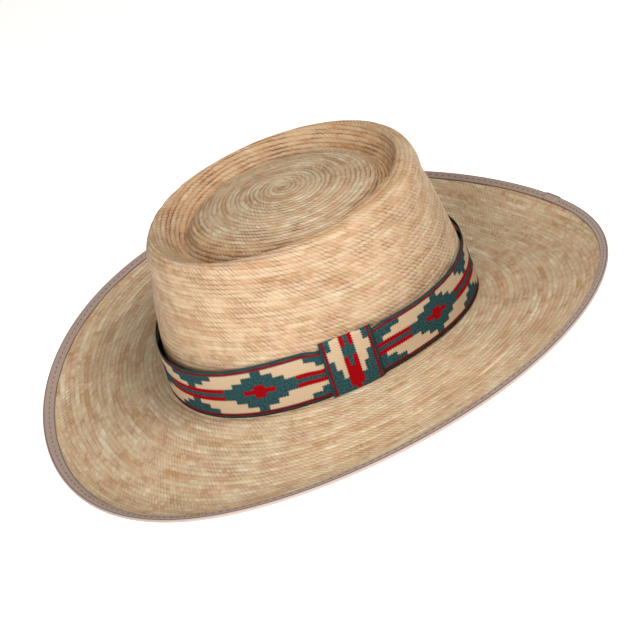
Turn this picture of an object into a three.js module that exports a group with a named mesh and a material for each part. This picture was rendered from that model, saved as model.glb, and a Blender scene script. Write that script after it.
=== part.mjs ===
// A palm-straw gambler hat with a round telescope crown, in millimetres.
// +Z is up, +X is the wearer's left and -Y is the front of the hat.
// The origin lies on the surface that the hat rests on, under the middle of the brim.
import * as THREE from 'three';

const { clamp, degToRad, lerp } = THREE.MathUtils;

// Rounds are drawn with this many sides
const SIDES = 60;

// The palm body is one wall of sewn braid, from the brim's edge to the middle of the top
const PALM_WALL = 1.5;
const RIBBON_THICKNESS = 1.0;
const CLEARANCE = 0.3;

// Rings of the hat are ovals whose height changes around the hat in four plain ways:
// mean is the average, saddle lifts the two sides and lowers front and back,
// corner lifts the sides, front and back over the diagonals, and pitch lifts the back over the front
const BRIM_EDGE = { halfWidth: 168, halfLength: 185.1, mean: 23.7, saddle: 11.5, corner: -1.1, pitch: 0.5 };
const CROWN_FOOT = { halfWidth: 86.8, halfLength: 102.6, mean: 17.3, saddle: 4.6, corner: 0, pitch: -6.2 };
const RIM_HEIGHT = 114.3;

// The brim runs out flat from the crown's foot and curls up over its outer part
const CURL_START = 0.58;
const CURL_END = 0.97;
const EDGE_SLOPE_SIDES = degToRad(19.7);
const EDGE_SLOPE_ENDS = degToRad(30.8);
const BRIM_RINGS = 13;

// Side wall: rise is the share of the way up from the crown's foot to the shoulder,
// and back moves an oval towards the back of the hat
const SHOULDER_DROP = 18.2;
const WALL_ROWS = [
  { rise: 0.18, halfWidth: 85.7, halfLength: 100.6, back: -0.3 },
  { rise: 0.36, halfWidth: 84.2, halfLength: 98.6, back: -0.6 },
  { rise: 0.58, halfWidth: 81.2, halfLength: 95.7, back: -1.0 },
  { rise: 0.80, halfWidth: 78.0, halfLength: 92.3, back: -1.4 },
  { rise: 1.00, halfWidth: 74.5, halfLength: 88.5, back: -1.8 },
];

// Rim, groove and button: drop is how far a ring lies below the rim's crest. Left moves an oval
// towards the wearer's left, fullness pushes the four diagonals of an oval out by that share of its
// size, and turn swings its long axis, in degrees, because the rim sits slightly askew.
const TOP_ROWS = [
  { drop: 11.6, halfWidth: 73.9, halfLength: 87.9, left: 0.0, back: -1.8, fullness: 0.008, turn: 1 },
  { drop: 5.6, halfWidth: 72.5, halfLength: 86.5, left: 0.0, back: -1.8, fullness: 0.007, turn: 3 },
  { drop: 1.5, halfWidth: 70.4, halfLength: 84.4, left: -0.3, back: -2.0, fullness: 0.004, turn: 5 },
  { drop: 0.0, halfWidth: 67.4, halfLength: 81.2, left: -2.0, back: -3.0, fullness: 0.003, turn: 5 },
  { drop: 1.3, halfWidth: 65.4, halfLength: 78.8, left: -2.0, back: -3.0, fullness: 0.003, turn: 5 },
  { drop: 3.8, halfWidth: 64.2, halfLength: 76.8, left: -1.4, back: -2.4, fullness: 0.002, turn: 4 },
  { drop: 8.4, halfWidth: 62.0, halfLength: 72.2, left: -0.2, back: -1.8, fullness: -0.006, turn: 2 },
  { drop: 12.2, halfWidth: 60.4, halfLength: 68.6, left: 1.4, back: -1.3, fullness: -0.020, turn: 0 },
  { drop: 13.0, halfWidth: 59.2, halfLength: 67.0, left: 1.8, back: -1.4, fullness: -0.030, turn: 0 },
  { drop: 12.0, halfWidth: 57.8, halfLength: 64.8, left: 2.4, back: -1.8, fullness: -0.030, turn: 0 },
  { drop: 9.0, halfWidth: 55.6, halfLength: 61.0, left: 3.6, back: -2.8, fullness: -0.030, turn: 0 },
  { drop: 6.0, halfWidth: 53.8, halfLength: 58.0, left: 4.4, back: -3.4, fullness: -0.020, turn: 0 },
  { drop: 4.4, halfWidth: 47.5, halfLength: 51.5, left: 4.0, back: -3.0, fullness: -0.010, turn: 0 },
  { drop: 2.7, halfWidth: 34.0, halfLength: 36.5, left: 2.4, back: -1.0, fullness: 0, turn: 0 },
  { drop: 1.2, halfWidth: 14.0, halfLength: 15.0, left: 0.8, back: 1.2, fullness: 0, turn: 0 },
];

// Hatband: a ribbon whose upper edge leans in by mean, more by swing at the four diagonals, where it
// lies against the wall, and less by swing near the front, back and sides, where it stands off.
// Turn is how far that pattern is turned from the hat's axes, and the lean grows with the height
// above the lower edge to the power of bend.
const BAND_LIFT = 1.7;
const BAND_HEIGHT = 32.2;
const BAND_LEAN = { mean: 1.65, swing: -2.2, turn: degToRad(4), bend: 1.25 };
const BAND_ROWS = [0, 0.35, 0.7, 1];

// Keeper: the same ribbon wrapped round the band, forward of the middle of the left side
const KEEPER_ANGLE = degToRad(-21.6);
const KEEPER_HALF_ANGLE = degToRad(9.05);
const KEEPER_STEPS = 8;

// Binding: a ribbon folded over the brim's edge. The fold isn't quite in its middle: the upper side is
// wider by swing at the front right, where turn points, and narrower across from there, and the
// underside the other way round.
const BINDING_WIDTH = { mean: 5.4, swing: 0.95, turn: degToRad(225) };
const BINDING_ROUND = 1.2;
const BRIM_WIDTH = BRIM_EDGE.halfWidth - CROWN_FOOT.halfWidth;

function heightAround(ring, angle) {
  return ring.mean + ring.saddle * Math.cos(2 * angle)
    + ring.corner * Math.cos(4 * angle) + ring.pitch * Math.sin(angle);
}

function ovalPoint(oval, angle, height) {
  const { halfWidth, halfLength, left = 0, back = 0, fullness = 0, turn = 0 } = oval;
  const full = 1 + fullness * (1 - Math.cos(4 * angle)) / 2;
  const swing = degToRad(turn);
  const across = halfWidth * full * Math.cos(angle - swing);
  const along = halfLength * full * Math.sin(angle - swing);
  return new THREE.Vector3(
    across * Math.cos(swing) - along * Math.sin(swing) + left,
    across * Math.sin(swing) + along * Math.cos(swing) + back,
    height,
  );
}

// The area under a smooth step that climbs from 0 to 1 between the curl's start and its end
function curlArea(out) {
  const span = CURL_END - CURL_START;
  const share = clamp((out - CURL_START) / span, 0, 1);
  return span * (share ** 3 - share ** 4 / 2) + Math.max(out - CURL_END, 0);
}

// The brim's upper face has one slope up to the curl, then eases to the slope that it has at the edge.
// The first slope is the one that joins the crown's foot to the edge.
function brimHeight(out, angle) {
  const foot = heightAround(CROWN_FOOT, angle);
  const edge = heightAround(BRIM_EDGE, angle);
  const width = Math.hypot(
    (BRIM_EDGE.halfWidth - CROWN_FOOT.halfWidth) * Math.cos(angle),
    (BRIM_EDGE.halfLength - CROWN_FOOT.halfLength) * Math.sin(angle),
  );
  const sideShare = (1 + Math.cos(2 * angle)) / 2;
  const edgeSlope = Math.tan(lerp(EDGE_SLOPE_ENDS, EDGE_SLOPE_SIDES, sideShare));
  const curl = curlArea(1);
  const flatSlope = ((edge - foot) / width - edgeSlope * curl) / (1 - curl);
  return foot + width * (flatSlope * out + (edgeSlope - flatSlope) * curlArea(out));
}

// A point of the brim's upper face: out is 0 at the crown's foot and 1 at the edge of the binding
function brimPoint(out, angle) {
  const oval = {
    halfWidth: lerp(CROWN_FOOT.halfWidth, BRIM_EDGE.halfWidth, out),
    halfLength: lerp(CROWN_FOOT.halfLength, BRIM_EDGE.halfLength, out),
  };
  return ovalPoint(oval, angle, brimHeight(out, angle));
}

function wallPoint(row, angle) {
  const foot = heightAround(CROWN_FOOT, angle);
  return ovalPoint(row, angle, lerp(foot, RIM_HEIGHT - SHOULDER_DROP, row.rise));
}

function topPoint(row, angle) {
  return ovalPoint(row, angle, RIM_HEIGHT - row.drop);
}

// A point of the band, from its lower edge upwards and from its inner face outwards, in millimetres
function bandPoint(up, out, angle) {
  const fullLean = BAND_LEAN.mean + BAND_LEAN.swing * Math.cos(4 * (angle - BAND_LEAN.turn));
  const lean = fullLean * Math.max(up / BAND_HEIGHT, 0) ** BAND_LEAN.bend;
  const oval = {
    halfWidth: CROWN_FOOT.halfWidth + CLEARANCE + out - lean,
    halfLength: CROWN_FOOT.halfLength + CLEARANCE + out - lean,
  };
  return ovalPoint(oval, angle, heightAround(CROWN_FOOT, angle) + BAND_LIFT + up);
}

// A point near the brim's edge, from the edge of the binding inwards and from the upper face upwards
function edgePoint(inward, up, angle) {
  const nudge = 0.001;
  const out = 1 - inward / BRIM_WIDTH;
  const around = brimPoint(out, angle + nudge).sub(brimPoint(out, angle - nudge));
  const inwards = brimPoint(out - nudge, angle).sub(brimPoint(out + nudge, angle));
  const normal = around.cross(inwards).normalize();
  return brimPoint(out, angle).addScaledVector(normal, up);
}

// How far the binding reaches in from its edge: side is 1 on the upper side and -1 on the underside
function bindingReach(side, angle) {
  return BINDING_WIDTH.mean + side * BINDING_WIDTH.swing * Math.cos(angle - BINDING_WIDTH.turn);
}

function anglesAround() {
  return Array.from({ length: SIDES }, (_, i) => (i * 2 * Math.PI) / SIDES);
}

// A mesh from rings of points: neighbouring rings are joined, and so are the last and the first
// of a loop. Each cap closes one ring with a fan round its own middle point.
function ringMesh(name, material, rings, { loop = false, caps = [] }) {
  const size = rings[0].length;
  const vertices = rings.flat();
  const indices = [];
  const joints = loop ? rings.length : rings.length - 1;
  for (let i = 0; i < joints; i += 1) {
    const here = i * size;
    const there = ((i + 1) % rings.length) * size;
    for (let j = 0; j < size; j += 1) {
      const k = (j + 1) % size;
      indices.push(here + j, here + k, there + k, here + j, there + k, there + j);
    }
  }
  for (const { ring, middle, turned } of caps) {
    const centre = vertices.push(middle) - 1;
    for (let j = 0; j < size; j += 1) {
      const pair = [ring * size + j, ring * size + (j + 1) % size];
      indices.push(...(turned ? pair.reverse() : pair), centre);
    }
  }
  return solidMesh(name, material, vertices, indices);
}

function solidMesh(name, material, vertices, indices) {
  const geometry = new THREE.BufferGeometry();
  const positions = vertices.flatMap((point) => point.toArray());
  geometry.setAttribute('position', new THREE.Float32BufferAttribute(positions, 3));
  geometry.setIndex(indices);
  geometry.computeVertexNormals();
  const mesh = new THREE.Mesh(geometry, material);
  mesh.name = name;
  return mesh;
}

// The rings of the palm body's outer face, from the brim's edge in to the flat middle of the button
function palmFace(angles) {
  const palmEdge = 1 - (RIBBON_THICKNESS + CLEARANCE) / BRIM_WIDTH;
  const brim = Array.from({ length: BRIM_RINGS + 1 }, (_, i) => (
    angles.map((angle) => brimPoint(palmEdge * (1 - i / BRIM_RINGS), angle))
  ));
  const wall = WALL_ROWS.map((row) => angles.map((angle) => wallPoint(row, angle)));
  const top = TOP_ROWS.map((row) => angles.map((angle) => topPoint(row, angle)));
  return [...brim, ...wall, ...top];
}

// The same rings moved inwards by the wall's thickness, with the button's middle kept flat
function palmLining(face) {
  const last = face.length - 1;
  return face.map((ring, i) => ring.map((point, j) => {
    if (i === last) {
      return point.clone().setZ(point.z - PALM_WALL);
    }
    const around = ring[(j + 1) % ring.length].clone().sub(ring.at(j - 1));
    const inwards = face[i + 1][j].clone().sub(face[Math.max(i - 1, 0)][j]);
    return point.clone().addScaledVector(around.cross(inwards).normalize(), -PALM_WALL);
  }));
}

function palmBody() {
  const face = palmFace(anglesAround());
  const lining = palmLining(face);
  const { left, back, drop } = TOP_ROWS.at(-1);
  const middle = new THREE.Vector3(left, back, RIM_HEIGHT - drop);
  const under = middle.clone().setZ(middle.z - PALM_WALL);
  const rings = [...lining.reverse(), ...face];
  const caps = [
    { ring: 0, middle: under, turned: true },
    { ring: rings.length - 1, middle, turned: false },
  ];
  return ringMesh('palm_body', PALM_STRAW, rings, { caps });
}

function hatband() {
  const outside = BAND_ROWS.map((share) => ({ up: share * BAND_HEIGHT, out: RIBBON_THICKNESS }));
  const inside = BAND_ROWS.map((share) => ({ up: share * BAND_HEIGHT, out: 0 })).reverse();
  const rings = [...outside, ...inside].map(({ up, out }) => (
    anglesAround().map((angle) => bandPoint(up, out, angle))
  ));
  return ringMesh('hatband', WOVEN_RIBBON, rings, { loop: true });
}

// A C section that runs down the front of the band and turns in over and under its edges
function bandKeeper() {
  const far = CLEARANCE + RIBBON_THICKNESS;
  const front = BAND_ROWS.map((share) => ({ up: share * BAND_HEIGHT, out: RIBBON_THICKNESS + far }));
  const back = BAND_ROWS.map((share) => ({ up: share * BAND_HEIGHT, out: far })).reverse();
  const section = [
    { up: -far, out: 0 },
    { up: -far, out: RIBBON_THICKNESS + far },
    ...front,
    { up: BAND_HEIGHT + far, out: RIBBON_THICKNESS + far },
    { up: BAND_HEIGHT + far, out: 0 },
    { up: BAND_HEIGHT + CLEARANCE, out: 0 },
    { up: BAND_HEIGHT + CLEARANCE, out: far },
    ...back,
    { up: -CLEARANCE, out: far },
    { up: -CLEARANCE, out: 0 },
  ];
  const vertices = [];
  for (let i = 0; i <= KEEPER_STEPS; i += 1) {
    const angle = KEEPER_ANGLE + KEEPER_HALF_ANGLE * (2 * i / KEEPER_STEPS - 1);
    vertices.push(...section.map(({ up, out }) => bandPoint(up, out, angle)));
  }
  const size = section.length;
  const indices = [];
  for (let i = 0; i < KEEPER_STEPS; i += 1) {
    for (let j = 0; j < size; j += 1) {
      const here = i * size + j;
      const beside = i * size + (j + 1) % size;
      indices.push(here, here + size, beside + size, here, beside + size, beside);
    }
  }
  const outline = section.map(({ up, out }) => new THREE.Vector2(out, up));
  const endOffset = KEEPER_STEPS * size;
  for (const [a, b, c] of THREE.ShapeUtils.triangulateShape(outline, [])) {
    indices.push(a, b, c, endOffset + c, endOffset + b, endOffset + a);
  }
  return solidMesh('band_keeper', WOVEN_RIBBON, vertices, indices);
}

// A U section that wraps the brim's edge, with its outer corners rounded off. A point with a side
// lies at the ribbon's own edge on that side.
function edgeBinding() {
  const far = CLEARANCE + RIBBON_THICKNESS;
  const section = [
    { side: 1, up: far },
    { inward: BINDING_ROUND, up: far },
    { inward: 0, up: far - BINDING_ROUND },
    { inward: 0, up: BINDING_ROUND - far - PALM_WALL },
    { inward: BINDING_ROUND, up: -far - PALM_WALL },
    { side: -1, up: -far - PALM_WALL },
    { side: -1, up: -CLEARANCE - PALM_WALL },
    { inward: RIBBON_THICKNESS, up: -CLEARANCE - PALM_WALL },
    { inward: RIBBON_THICKNESS, up: CLEARANCE },
    { side: 1, up: CLEARANCE },
  ];
  const rings = section.map(({ side, inward, up }) => (
    anglesAround().map((angle) => edgePoint(inward ?? bindingReach(side, angle), up, angle))
  ));
  return ringMesh('edge_binding', BINDING_RIBBON, rings.reverse(), { loop: true });
}

const PALM_STRAW = new THREE.MeshStandardMaterial({ color: 0xc9a87c, roughness: 0.85, metalness: 0 });
const WOVEN_RIBBON = new THREE.MeshStandardMaterial({ color: 0x2c4a4c, roughness: 0.9, metalness: 0 });
const BINDING_RIBBON = new THREE.MeshStandardMaterial({ color: 0x9c8276, roughness: 0.9, metalness: 0 });

const hat = new THREE.Group();
hat.add(palmBody(), hatband(), bandKeeper(), edgeBinding());

export default hat;
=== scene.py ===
"""The looks of a palm-straw gambler hat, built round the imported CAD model.

The frame is the part's own: +Z is up, +X is the wearer's left and -Y is the front of the hat.
Sizes in the classes are in millimetres, and a mesh turns into metres when it is made.
"""

import logging
import math
from dataclasses import dataclass
from enum import Enum

import bpy
import numpy as np
from mathutils import Matrix, Vector


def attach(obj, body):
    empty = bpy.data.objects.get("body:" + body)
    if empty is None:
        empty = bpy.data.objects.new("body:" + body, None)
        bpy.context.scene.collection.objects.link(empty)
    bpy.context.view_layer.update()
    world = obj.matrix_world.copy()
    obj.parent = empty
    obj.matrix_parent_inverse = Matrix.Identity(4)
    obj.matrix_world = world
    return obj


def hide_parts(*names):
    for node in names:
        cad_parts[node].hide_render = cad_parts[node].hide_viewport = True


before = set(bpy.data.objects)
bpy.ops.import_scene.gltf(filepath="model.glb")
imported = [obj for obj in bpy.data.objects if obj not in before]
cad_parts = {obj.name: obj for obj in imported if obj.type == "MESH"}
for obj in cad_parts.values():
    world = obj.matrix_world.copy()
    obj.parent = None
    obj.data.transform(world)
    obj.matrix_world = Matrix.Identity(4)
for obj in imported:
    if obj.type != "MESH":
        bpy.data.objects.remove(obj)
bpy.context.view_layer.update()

LOG = logging.getLogger("gambler_hat")
MM = 0.001
TURN = 2 * math.pi
BODY = "root"
PATTERN = "pattern"
STITCH_ROW = "row of stitches"
RIBBON_WIDTH = 32.5
RIBBON_COLUMN = 6.35
STITCH_BALL = {"Segments": 8, "Rings": 5, "Radius": 0.5}
NOISE_MIDDLE = 0.5
FINE_OCTAVES = 3.0

Array = np.ndarray
Pair = tuple[float, float]
Triple = tuple[float, float, float]
Piece = bpy.types.Object
Material = bpy.types.Material
Socket = bpy.types.NodeSocket


# The hat's form

def smooth_rows(knots: Array, rows: Array, at: Array) -> Array:
    """Reads a smooth curve through rows of values, with no overshoot between them.

    Args:
        knots: Where each row stands, in rising order.
        rows: One row of values for each knot.
        at: The places to read.

    Returns:
        One row of values for each place.
    """
    gap = np.diff(knots).reshape((-1,) + (1,) * (rows.ndim - 1))
    slope = np.diff(rows, axis=0) / gap
    before, after = slope[:-1], slope[1:]
    weight_before, weight_after = gap[:-1] + 2 * gap[1:], 2 * gap[:-1] + gap[1:]
    alike = before * after > 0
    safe_before = np.where(alike, before, 1.0)
    safe_after = np.where(alike, after, 1.0)
    shared = (weight_before + weight_after) / (weight_before / safe_before + weight_after / safe_after)
    tangent = np.concatenate([slope[:1], np.where(alike, shared, 0.0), slope[-1:]])
    index = np.clip(np.searchsorted(knots, at, side="right") - 1, 0, len(knots) - 2)
    span = gap[index]
    share = (at - knots[index]).reshape(span.shape) / span
    square, cube = share ** 2, share ** 3
    return (
        (2 * cube - 3 * square + 1) * rows[index] + (cube - 2 * square + share) * span * tangent[index]
        + (3 * square - 2 * cube) * rows[index + 1] + (cube - square) * span * tangent[index + 1]
    )


def unit(vectors: Array, shortest: float = 1e-9) -> Array:
    """Returns the same directions with a length of one."""
    return vectors / np.maximum(np.linalg.norm(vectors, axis=-1, keepdims=True), shortest)


def run_along(line: Array) -> Array:
    """Returns the distance along a line of points, at each point."""
    return np.concatenate([[0], np.cumsum(np.linalg.norm(np.diff(line, axis=0), axis=-1))])


@dataclass(frozen=True)
class Ring:
    """An oval round the hat, whose height is a mean with a saddle, raised corners and a tilt forward."""

    half_width: float
    half_length: float
    mean: float
    saddle: float
    corner: float
    pitch: float

    def height(self, angle: Array) -> Array:
        """Returns the ring's height at an angle round the hat."""
        return (
            self.mean + self.saddle * np.cos(2 * angle)
            + self.corner * np.cos(4 * angle) + self.pitch * np.sin(angle)
        )


@dataclass(frozen=True)
class Oval:
    """One row of the crown, at a share of the rise or at a drop below the rim's crest."""

    at: float
    half_width: float
    half_length: float
    shift_back: float
    shift_left: float = 0.0
    fullness: float = 0.0
    turn: float = 0.0

    def points(self, angle: Array, height: Array) -> Array:
        """Returns the row's points.

        Args:
            angle: Angles round the hat.
            height: The height at each angle.

        Returns:
            One point for each angle.
        """
        full = 1 + self.fullness * (1 - np.cos(4 * angle)) / 2
        swing = math.radians(self.turn)
        across = self.half_width * full * np.cos(angle - swing)
        along = self.half_length * full * np.sin(angle - swing)
        return np.stack([
            across * math.cos(swing) - along * math.sin(swing) + self.shift_left,
            across * math.sin(swing) + along * math.cos(swing) + self.shift_back,
            height + 0 * angle,
        ], axis=-1)


@dataclass(frozen=True)
class Meridians:
    """Lines over the outer face from the middle of the top to the palm's edge, one for each column."""

    points: Array
    run: Array

    def normals(self) -> Array:
        """Returns the outward direction at every point."""
        along = np.gradient(self.points, axis=0)
        around = np.roll(self.points, -1, axis=1) - np.roll(self.points, 1, axis=1)
        around[0] = around[1]
        return unit(np.cross(along, around))

    def at(self, column: int, run: Array, lines: Array) -> Array:
        """Reads one column of a set of lines.

        Args:
            column: The column's number.
            run: Distances along the meridian.
            lines: Values of the same shape as points.

        Returns:
            One row of values for each distance.
        """
        own = self.run[:, column]
        return np.stack([np.interp(run, own, lines[:, column, axis]) for axis in range(3)], axis=-1)


@dataclass(frozen=True)
class HatForm:
    """The shape that every piece follows: brim, crown wall, rim, groove and button."""

    edge: Ring = Ring(168.0, 185.1, 23.7, 11.5, -1.1, 0.5)
    foot: Ring = Ring(86.8, 102.6, 17.3, 4.6, 0.0, -6.2)
    rim_height: float = 114.3
    curl_start: float = 0.58
    curl_end: float = 0.97
    edge_slope_sides: float = math.tan(math.radians(19.7))
    edge_slope_ends: float = math.tan(math.radians(30.8))
    shoulder_drop: float = 18.2
    palm_inset: float = 1.3
    brim_rows: int = 24
    reading_step: float = 0.4
    nudge: float = 0.001
    wall: tuple[Oval, ...] = (
        Oval(0.18, 85.7, 100.6, -0.3),
        Oval(0.36, 84.2, 98.6, -0.6),
        Oval(0.58, 81.2, 95.7, -1.0),
        Oval(0.80, 78.0, 92.3, -1.4),
        Oval(1.00, 74.5, 88.5, -1.8),
    )
    top: tuple[Oval, ...] = (
        Oval(11.6, 73.9, 87.9, -1.8, 0.0, 0.008, 1.0),
        Oval(5.6, 72.5, 86.5, -1.8, 0.0, 0.007, 3.0),
        Oval(1.5, 70.4, 84.4, -2.0, -0.3, 0.004, 5.0),
        Oval(0.0, 67.4, 81.2, -3.0, -2.0, 0.003, 5.0),
        Oval(1.3, 65.4, 78.8, -3.0, -2.0, 0.003, 5.0),
        Oval(3.8, 64.2, 76.8, -2.4, -1.4, 0.002, 4.0),
        Oval(8.4, 62.0, 72.2, -1.8, -0.2, -0.006, 2.0),
        Oval(12.2, 60.4, 68.6, -1.3, 1.4, -0.020),
        Oval(13.0, 59.2, 67.0, -1.4, 1.8, -0.030),
        Oval(12.0, 57.8, 64.8, -1.8, 2.4, -0.030),
        Oval(9.0, 55.6, 61.0, -2.8, 3.6, -0.030),
        Oval(6.0, 53.8, 58.0, -3.4, 4.4, -0.020),
        Oval(4.4, 47.5, 51.5, -3.0, 4.0, -0.010),
        Oval(2.7, 34.0, 36.5, -1.0, 2.4),
        Oval(1.2, 14.0, 15.0, 1.2, 0.8),
        Oval(0.7, 0.0, 0.0, 2.0),
    )
    band_clearance: float = 0.3
    band_lift: float = 1.7
    band_height: float = 32.2
    band_lean: float = 1.65
    band_lean_swing: float = -2.2
    band_lean_turn: float = math.radians(4)
    band_bend: float = 1.25

    @property
    def brim_width(self) -> float:
        """The brim's width at the sides."""
        return self.edge.half_width - self.foot.half_width

    def curl_area(self, out: Array) -> Array:
        """Finds the area under the curl's smooth step.

        Args:
            out: The share of the brim's width that it reaches to.

        Returns:
            The area, as a share of the brim's width.
        """
        span = self.curl_end - self.curl_start
        share = np.clip((out - self.curl_start) / span, 0, 1)
        return span * (share ** 3 - share ** 4 / 2) + np.maximum(out - self.curl_end, 0)

    def brim_points(self, out: Array, angle: Array) -> Array:
        """Finds points of the brim's upper face.

        Args:
            out: The share of the way from the crown's foot to the edge of the binding.
            angle: Angles round the hat.

        Returns:
            One point for each pair.
        """
        foot, edge = self.foot.height(angle), self.edge.height(angle)
        length = self.edge.half_length - self.foot.half_length
        width = np.hypot(self.brim_width * np.cos(angle), length * np.sin(angle))
        side_share = (1 + np.cos(2 * angle)) / 2
        edge_slope = self.edge_slope_ends + (self.edge_slope_sides - self.edge_slope_ends) * side_share
        curl = self.curl_area(np.array(1.0))
        flat_slope = ((edge - foot) / width - edge_slope * curl) / (1 - curl)
        height = foot + width * (flat_slope * out + (edge_slope - flat_slope) * self.curl_area(out))
        return np.stack([
            (self.foot.half_width + self.brim_width * out) * np.cos(angle),
            (self.foot.half_length + length * out) * np.sin(angle),
            height,
        ], axis=-1)

    def edge_points(self, inward: float | Array, up: float, angle: Array) -> Array:
        """Finds points near the brim's edge.

        Args:
            inward: How far in from the edge of the binding.
            up: How far above the brim's upper face.
            angle: Angles round the hat.

        Returns:
            One point for each angle.
        """
        out = np.array(1 - inward / self.brim_width)
        around = self.brim_points(out, angle + self.nudge) - self.brim_points(out, angle - self.nudge)
        inwards = self.brim_points(out - self.nudge, angle) - self.brim_points(out + self.nudge, angle)
        return self.brim_points(out, angle) + up * unit(np.cross(around, inwards))

    def band_points(self, up: Array, out: float, angle: Array) -> Array:
        """Finds points of the band round the crown.

        Args:
            up: How far above the band's lower edge.
            out: How far out from its inner face.
            angle: Angles round the hat.

        Returns:
            One point for each pair.
        """
        full_lean = self.band_lean + self.band_lean_swing * np.cos(4 * (angle - self.band_lean_turn))
        share = np.maximum(up / self.band_height, 0)
        offset = self.band_clearance + out - full_lean * share ** self.band_bend
        return np.stack([
            (self.foot.half_width + offset) * np.cos(angle),
            (self.foot.half_length + offset) * np.sin(angle),
            self.foot.height(angle) + self.band_lift + up,
        ], axis=-1)

    def meridians(self, angle: Array) -> Meridians:
        """Runs lines over the whole outer face.

        Args:
            angle: The columns' angles round the hat.

        Returns:
            The lines, read closely enough to lay rows of braid on them.
        """
        foot = self.foot.height(angle)
        shoulder = self.rim_height - self.shoulder_drop
        crown = [row.points(angle, self.rim_height - row.at) for row in reversed(self.top)]
        crown += [row.points(angle, foot + (shoulder - foot) * row.at) for row in reversed(self.wall)]
        palm_edge = 1 - self.palm_inset / self.brim_width
        brim = [self.brim_points(np.array(out), angle) for out in np.linspace(0, palm_edge, self.brim_rows)]
        rows = np.stack(crown + brim)
        step = np.linalg.norm(np.diff(rows, axis=0), axis=-1)
        knots = np.concatenate([[0], np.cumsum(step.mean(axis=1))])
        points = smooth_rows(knots, rows, np.linspace(0, knots[-1], int(knots[-1] / self.reading_step)))
        run = np.cumsum(np.linalg.norm(np.diff(points, axis=0, prepend=points[:1]), axis=-1), axis=0)
        return Meridians(points, run)


# Meshes

def add_object(name: str, data: bpy.types.ID) -> Piece:
    """Puts a new object into the scene.

    Args:
        name: Its name.
        data: Its mesh, light or camera.

    Returns:
        The object.
    """
    made = bpy.data.objects.new(name, data)
    bpy.context.scene.collection.objects.link(made)
    return made


class MeshMaker:
    """Gathers points and faces with their pattern places, and turns them into one object."""

    def __init__(self, name: str) -> None:
        """Starts an empty mesh.

        Args:
            name: The name of the object to make.
        """
        self.name = name
        self.points: list[Array] = []
        self.count = 0
        self.faces: list[list[int]] = []
        self.places: list[Pair] = []

    def add_points(self, points: Array) -> int:
        """Adds points.

        Args:
            points: Any array of points.

        Returns:
            The number of the first.
        """
        first = self.count
        self.points.append(points.reshape(-1, 3))
        self.count += len(self.points[-1])
        return first

    def add_face(self, corners: list[int], places: list[Pair]) -> None:
        """Adds a face, given its points anticlockwise from outside and their places in the pattern."""
        self.faces.append(corners)
        self.places.extend(places)

    def add_tube(
        self, rings: list[Array], across: list[float], along: Array, closed: bool,
    ) -> None:
        """Joins rings of points into a tube, each ring running the long way of a ribbon.

        Args:
            rings: Rings in order round the ribbon's section.
            across: Where each ring lies across the pattern.
            along: Where each column lies along the pattern, with one more entry when closed.
            closed: Whether the last column joins the first, or both ends get a cap.
        """
        lines, columns = len(rings), len(rings[0])
        first = self.add_points(np.stack(rings))
        for line in range(lines):
            below = (line + 1) % lines
            for column in range(columns if closed else columns - 1):
                beside = (column + 1) % columns
                left, right = along[column], along[column + 1]
                self.add_face([
                    first + line * columns + column, first + line * columns + beside,
                    first + below * columns + beside, first + below * columns + column,
                ], [
                    (left, across[line]), (right, across[line]),
                    (right, across[below]), (left, across[below]),
                ])
        if closed:
            return
        for column, order in ((0, 1), (columns - 1, -1)):
            for line in range(lines // 2 - 1):
                ring = [line, line + 1, lines - 2 - line, lines - 1 - line][::order]
                self.add_face([first + number * columns + column for number in ring],
                              [(along[column], across[number]) for number in ring])

    def make(self) -> Piece:
        """Makes the object, with its pattern map, and returns it."""
        mesh = bpy.data.meshes.new(self.name)
        mesh.from_pydata(np.concatenate(self.points) * MM, [], self.faces)
        layer = mesh.uv_layers.new(name=PATTERN)
        layer.data.foreach_set("uv", np.array(self.places, dtype=np.float32).ravel())
        mesh.polygons.foreach_set("use_smooth", [True] * len(mesh.polygons))
        mesh.update()
        return add_object(self.name, mesh)


def keep_result(piece: Piece) -> None:
    """Replaces a piece's mesh by what its modifiers make of it, and removes them.

    Args:
        piece: The piece.
    """
    graph = bpy.context.evaluated_depsgraph_get()
    result = bpy.data.meshes.new_from_object(piece.evaluated_get(graph), depsgraph=graph)
    piece.modifiers.clear()
    piece.data = result
    result.name = piece.name


def dress(piece: Piece, node: str, material: Material) -> None:
    """Gives a piece its finish and its place in the part.

    Args:
        piece: The piece.
        node: The CAD node that it stands for.
        material: The finish.
    """
    piece.data.materials.clear()
    piece.data.materials.append(material)
    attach(piece, BODY)
    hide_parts(node)
    LOG.info("%s: %d faces", piece.name, len(piece.data.polygons))


# Node trees

def linear(code: str) -> tuple[float, float, float, float]:
    """Turns a colour such as #C9A77A into the renderer's own scale, by the sRGB formula."""
    parts = [int(code[i:i + 2], 16) / 255 for i in (1, 3, 5)]
    return (*[c / 12.92 if c <= 0.04045 else ((c + 0.055) / 1.055) ** 2.4 for c in parts], 1.0)


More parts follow.
